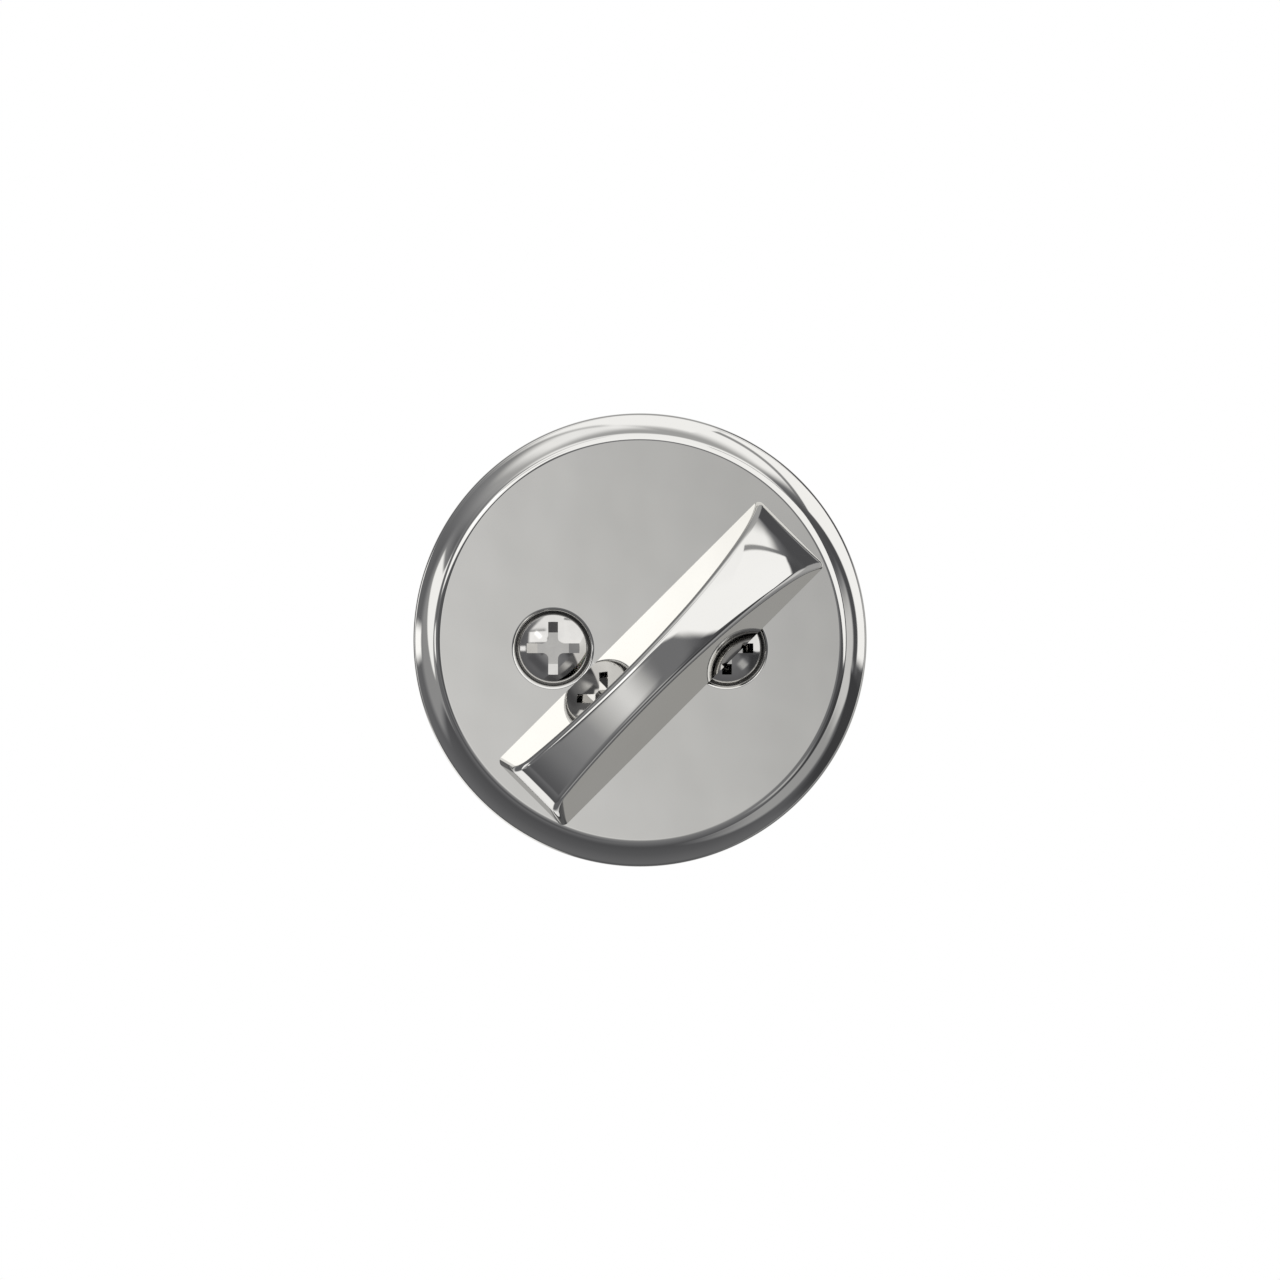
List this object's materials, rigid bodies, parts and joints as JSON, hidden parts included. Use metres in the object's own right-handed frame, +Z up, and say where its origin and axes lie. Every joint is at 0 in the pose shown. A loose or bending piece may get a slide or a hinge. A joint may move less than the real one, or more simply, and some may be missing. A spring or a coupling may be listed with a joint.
{
  "type": "single sided deadbolt turn unit",
  "caption": "Round moulded rose with an arched thumbturn on a sprung spindle, a flat drive blade and screws that pull on an anchor plate, to lock a door from one side.",
  "frame": {"origin": "centre of the rose, on the face of the door", "axes": "+Y into the door, +Z up the door, +X to the right seen from the room"},
  "size_m": [0.0664, 0.054, 0.0664],
  "materials": {
    "polished_nickel": "polished nickel plate",
    "nickel_screw": "nickel plated screw",
    "acetal": "natural acetal",
    "spring_steel": "oiled spring steel",
    "zinc_plated_steel": "bright zinc plate",
    "blade_steel": "drawn steel strip"
  },
  "bodies": {
    "base": {"rose": "polished_nickel", "spindle_bushing": "acetal", "spring_washer": "spring_steel", "thrust_washer": "zinc_plated_steel", "mounting_screws": "nickel_screw", "anchor_plate": "zinc_plated_steel", "threaded_posts": "zinc_plated_steel"},
    "turn": {"thumbturn": "polished_nickel", "retaining_clip": "spring_steel", "tailpiece": "blade_steel", "tailpiece_pin": "spring_steel"}
  },
  "joints": [
    {"name": "thumbturn_turn", "type": "hinge", "parent": "base", "child": "turn", "pos_m": [0, -0.0075, -0.0065], "axis": [0, -1, 0], "range_deg": [-45, 45]}
  ]
}
